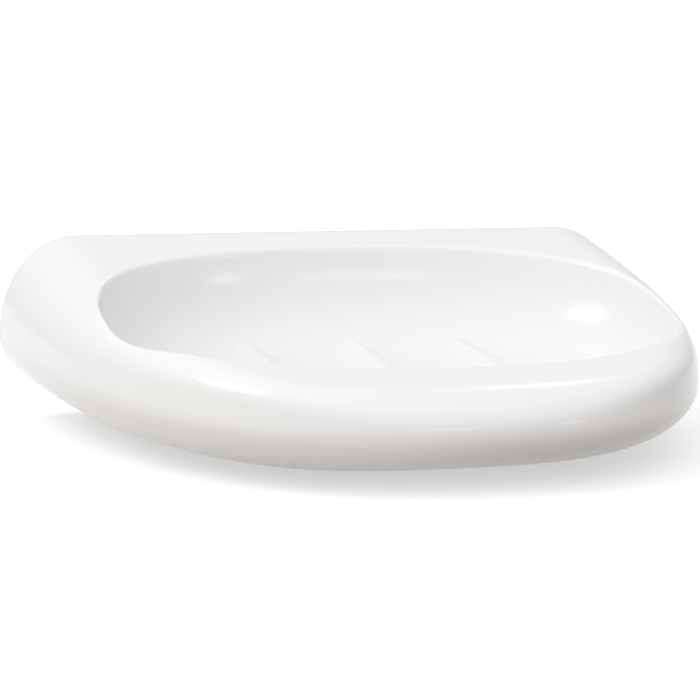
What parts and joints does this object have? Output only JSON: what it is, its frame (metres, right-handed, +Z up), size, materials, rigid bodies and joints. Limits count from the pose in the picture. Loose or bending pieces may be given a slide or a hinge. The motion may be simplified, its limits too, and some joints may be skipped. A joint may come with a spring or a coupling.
{
  "type": "soap dish",
  "caption": "Wall-hung ceramic soap dish with an oval ribbed basin and rolled rim, on a hidden steel bracket with a lock screw.",
  "frame": {"origin": "on the wall's face, on the screw line, midway between the two wall screws", "axes": "+X along the wall to the dish's right seen from the front, +Y into the wall, +Z up"},
  "size_m": [0.15, 0.1535, 0.0401],
  "materials": {
    "glaze": "glossy white glaze",
    "zinc_sheet": "zinc-plated sheet",
    "screw_steel": "zinc-plated",
    "washer_steel": "zinc-plated",
    "nylon": "matt grey nylon",
    "brass": "turned",
    "black_steel": "black oxide",
    "rubber": "matt"
  },
  "bodies": {
    "wall_fixing": {"wall_bracket": "zinc_sheet", "wall_screws": "screw_steel", "screw_washers": "washer_steel", "wall_plugs": "nylon", "rubber_strips": "rubber"},
    "dish_body": {"dish": "glaze", "lock_bush": "brass"},
    "lock_body": {"lock_screw": "black_steel"}
  },
  "joints": [
    {"name": "dish_pull", "type": "slide", "parent": "wall_fixing", "child": "dish_body", "axis": [0, -1, 0], "range_m": [0, 0.03]},
    {"name": "lock_travel", "type": "slide", "parent": "dish_body", "child": "lock_body", "axis": [0, 0, -1], "range_m": [0, 0.003]}
  ]
}
